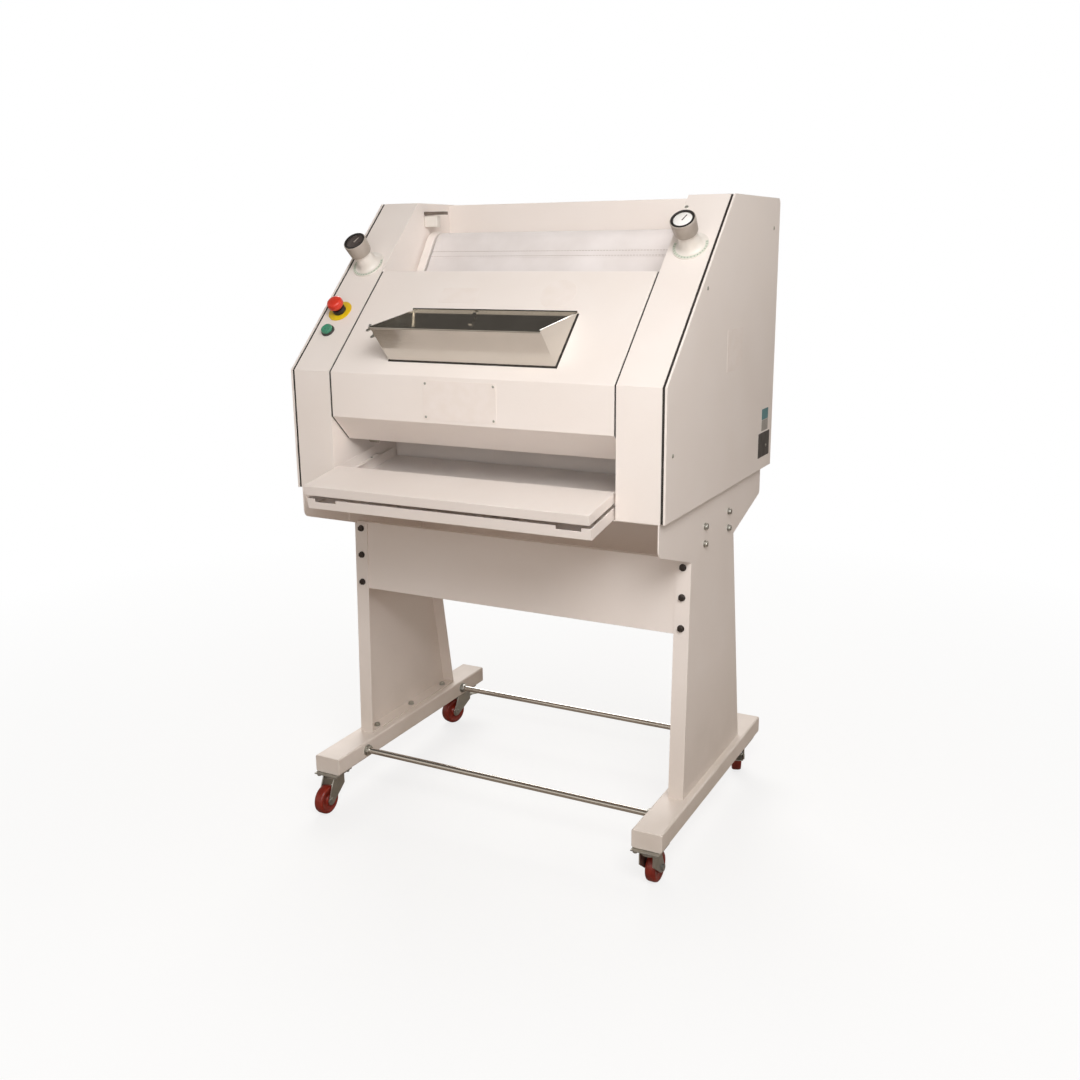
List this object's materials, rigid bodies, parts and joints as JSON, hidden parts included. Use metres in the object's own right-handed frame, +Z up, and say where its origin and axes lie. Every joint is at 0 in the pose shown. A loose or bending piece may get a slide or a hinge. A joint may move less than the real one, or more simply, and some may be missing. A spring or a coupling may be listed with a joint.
{
  "type": "bread moulder",
  "caption": "Free-standing dough moulder with side cabinets, a swing-up front cover with steel infeed hopper, sheeting rollers, felt belt, sloping trays and a wheeled sheet-steel stand.",
  "frame": {"origin": "on the floor, under the middle of the whole machine", "axes": "+X to the machine's right side as seen from its front, +Y from the front to the back, +Z up; the trays face -Y"},
  "size_m": [0.974, 0.9, 1.553],
  "materials": {
    "powder_coat": "semi-gloss powder coat, warm white",
    "bright_steel": "bright drawn steel",
    "stainless": "polished stainless sheet",
    "zinc_steel": "zinc plated, satin",
    "wheel_tread": "cast polyurethane, red brown",
    "black_rubber": "matt black",
    "felt": "woven wool felt, off-white",
    "motor_paint": "grey enamel",
    "collar_plastic": "moulded, pale",
    "knob_plastic": "moulded, warm grey with a dial",
    "yellow_plastic": "moulded, yellow",
    "red_plastic": "moulded, red",
    "green_plastic": "moulded, green",
    "black_plastic": "moulded, black"
  },
  "bodies": {
    "frame": {"left_foot": "powder_coat", "right_foot": "powder_coat", "left_leg": "powder_coat", "right_leg": "powder_coat", "front_apron": "powder_coat", "rear_apron": "powder_coat", "front_tie_rod": "bright_steel", "rear_tie_rod": "bright_steel", "left_front_caster_plate": "zinc_steel", "right_front_caster_plate": "zinc_steel", "left_rear_caster_plate": "zinc_steel", "right_rear_caster_plate": "zinc_steel", "base_pan": "powder_coat", "left_cabinet": "powder_coat", "right_cabinet": "powder_coat", "left_panel_seal": "black_rubber", "right_panel_seal": "black_rubber", "left_side_panel": "powder_coat", "right_side_panel": "powder_coat", "rear_cover": "powder_coat", "left_belt_side": "powder_coat", "right_belt_side": "powder_coat", "felt_belt": "felt", "rear_scraper": "zinc_steel", "drive_motor": "motor_paint", "drive_belt": "black_rubber", "left_knob_collar": "collar_plastic", "right_knob_collar": "collar_plastic", "estop_collar": "yellow_plastic", "start_bezel": "zinc_steel", "safety_switch": "black_plastic"},
    "left_front_fork": {"left_front_caster_fork": "zinc_steel"},
    "left_front_wheel": {"left_front_caster_wheel": "wheel_tread"},
    "right_front_fork": {"right_front_caster_fork": "zinc_steel"},
    "right_front_wheel": {"right_front_caster_wheel": "wheel_tread"},
    "left_rear_fork": {"left_rear_caster_fork": "zinc_steel"},
    "left_rear_wheel": {"left_rear_caster_wheel": "wheel_tread"},
    "left_rear_pedal": {"left_rear_brake_pedal": "zinc_steel"},
    "right_rear_fork": {"right_rear_caster_fork": "zinc_steel"},
    "right_rear_wheel": {"right_rear_caster_wheel": "wheel_tread"},
    "right_rear_pedal": {"right_rear_brake_pedal": "zinc_steel"},
    "cover": {"front_cover": "powder_coat", "infeed_hopper": "stainless"},
    "upper_screw": {"upper_wing_screw": "zinc_steel"},
    "lower_screw": {"lower_wing_screw": "zinc_steel"},
    "carriage": {"roller_carriage": "zinc_steel"},
    "front_roller": {"front_sheeting_roller": "bright_steel"},
    "rear_roller": {"rear_sheeting_roller": "bright_steel"},
    "drive_roller": {"belt_drive_roller": "zinc_steel", "drive_pulley": "zinc_steel"},
    "top_roller": {"belt_top_roller": "zinc_steel"},
    "motor_shaft": {"motor_pulley": "zinc_steel"},
    "pressure": {"pressure_board": "stainless"},
    "left_dial": {"left_knob": "knob_plastic"},
    "right_dial": {"right_knob": "knob_plastic"},
    "stop_head": {"estop_head": "red_plastic"},
    "start_cap": {"start_button": "green_plastic"},
    "upper_tray": {"outfeed_tray": "powder_coat"},
    "lower_tray": {"crumb_tray": "powder_coat"}
  },
  "joints": [
    {"name": "cover_hinge", "type": "hinge", "parent": "frame", "child": "cover", "pos_m": [0, -0.09172, 1.36976], "axis": [-1, 0, 0], "range_deg": [0, 75]},
    {"name": "upper_screw_turn", "type": "hinge", "parent": "cover", "child": "upper_screw", "pos_m": [-0.222, -0.34965, 1.26664], "axis": [1, 0, 0], "continuous": true},
    {"name": "lower_screw_turn", "type": "hinge", "parent": "cover", "child": "lower_screw", "pos_m": [-0.222, -0.33456, 1.2509], "axis": [1, 0, 0], "continuous": true},
    {"name": "roller_gap", "type": "slide", "parent": "frame", "child": "carriage", "axis": [0, -1, 0], "range_m": [0, 0.015]},
    {"name": "front_roller_spin", "type": "hinge", "parent": "carriage", "child": "front_roller", "pos_m": [0, -0.262, 1.118], "axis": [1, 0, 0], "continuous": true},
    {"name": "rear_roller_spin", "type": "hinge", "parent": "frame", "child": "rear_roller", "pos_m": [0, -0.19, 1.112], "axis": [1, 0, 0], "continuous": true},
    {"name": "belt_drive_spin", "type": "hinge", "parent": "frame", "child": "drive_roller", "pos_m": [0, -0.13, 1.03], "axis": [1, 0, 0], "continuous": true},
    {"name": "belt_top_spin", "type": "hinge", "parent": "frame", "child": "top_roller", "pos_m": [0, 0.148, 1.436], "axis": [1, 0, 0], "continuous": true},
    {"name": "motor_spin", "type": "hinge", "parent": "frame", "child": "motor_shaft", "pos_m": [0.4, 0.32, 0.96], "axis": [1, 0, 0], "continuous": true},
    {"name": "pressure_slide", "type": "slide", "parent": "frame", "child": "pressure", "axis": [0, -1, 0], "range_m": [0, 0.015]},
    {"name": "left_knob_turn", "type": "hinge", "parent": "frame", "child": "left_dial", "pos_m": [-0.4208, -0.07305, 1.4015], "axis": [0, -0.692, 0.7219], "range_deg": [0, 270]},
    {"name": "right_knob_turn", "type": "hinge", "parent": "frame", "child": "right_dial", "pos_m": [0.4208, -0.03407, 1.43887], "axis": [0, -0.692, 0.7219], "range_deg": [0, 270]},
    {"name": "stop_press", "type": "slide", "parent": "frame", "child": "stop_head", "axis": [0, 0.692, -0.7219], "range_m": [0, 0.005]},
    {"name": "start_press", "type": "slide", "parent": "frame", "child": "start_cap", "axis": [0, 0.692, -0.7219], "range_m": [0, 0.0025], "stiffness_N_per_m": 600},
    {"name": "outfeed_tray_slide", "type": "slide", "parent": "frame", "child": "upper_tray", "axis": [0, -0.9848, -0.1736], "range_m": [0, 0.15]},
    {"name": "crumb_tray_slide", "type": "slide", "parent": "frame", "child": "lower_tray", "axis": [0, -0.9848, -0.1736], "range_m": [0, 0.25]},
    {"name": "left_front_swivel", "type": "hinge", "parent": "frame", "child": "left_front_fork", "pos_m": [-0.4495, -0.297, 0.09], "axis": [0, 0, 1], "continuous": true},
    {"name": "left_front_roll", "type": "hinge", "parent": "left_front_fork", "child": "left_front_wheel", "pos_m": [-0.4495, -0.332, 0.0375], "axis": [1, 0, 0], "continuous": true},
    {"name": "right_front_swivel", "type": "hinge", "parent": "frame", "child": "right_front_fork", "pos_m": [0.4495, -0.297, 0.09], "axis": [0, 0, 1], "continuous": true},
    {"name": "right_front_roll", "type": "hinge", "parent": "right_front_fork", "child": "right_front_wheel", "pos_m": [0.4495, -0.262, 0.0375], "axis": [1, 0, 0], "continuous": true},
    {"name": "left_rear_swivel", "type": "hinge", "parent": "frame", "child": "left_rear_fork", "pos_m": [-0.4495, 0.357, 0.09], "axis": [0, 0, 1], "continuous": true},
    {"name": "left_rear_roll", "type": "hinge", "parent": "left_rear_fork", "child": "left_rear_wheel", "pos_m": [-0.45973, 0.32353, 0.0375], "axis": [0.9563, -0.2924, 0], "continuous": true},
    {"name": "left_rear_brake", "type": "hinge", "parent": "left_rear_fork", "child": "left_rear_pedal", "pos_m": [-0.44482, 0.3723, 0.068], "axis": [-0.9563, 0.2924, 0], "range_deg": [0, 9]},
    {"name": "right_rear_swivel", "type": "hinge", "parent": "frame", "child": "right_rear_fork", "pos_m": [0.4495, 0.357, 0.09], "axis": [0, 0, 1], "continuous": true},
    {"name": "right_rear_roll", "type": "hinge", "parent": "right_rear_fork", "child": "right_rear_wheel", "pos_m": [0.43753, 0.38989, 0.0375], "axis": [0.9397, 0.342, 0], "continuous": true},
    {"name": "right_rear_brake", "type": "hinge", "parent": "right_rear_fork", "child": "right_rear_pedal", "pos_m": [0.45497, 0.34197, 0.068], "axis": [0.9397, 0.342, 0], "range_deg": [0, 9]}
  ],
  "couplings": [
    {"joint": "left_knob_turn", "follows": "roller_gap", "rad_per_m": 314.1},
    {"joint": "right_knob_turn", "follows": "pressure_slide", "rad_per_m": 314.1},
    {"joint": "belt_top_spin", "follows": "belt_drive_spin", "ratio": 1},
    {"joint": "rear_roller_spin", "follows": "belt_drive_spin", "ratio": 1.3125},
    {"joint": "front_roller_spin", "follows": "belt_drive_spin", "ratio": -1.3125},
    {"joint": "motor_spin", "follows": "belt_drive_spin", "ratio": 2.1333}
  ]
}
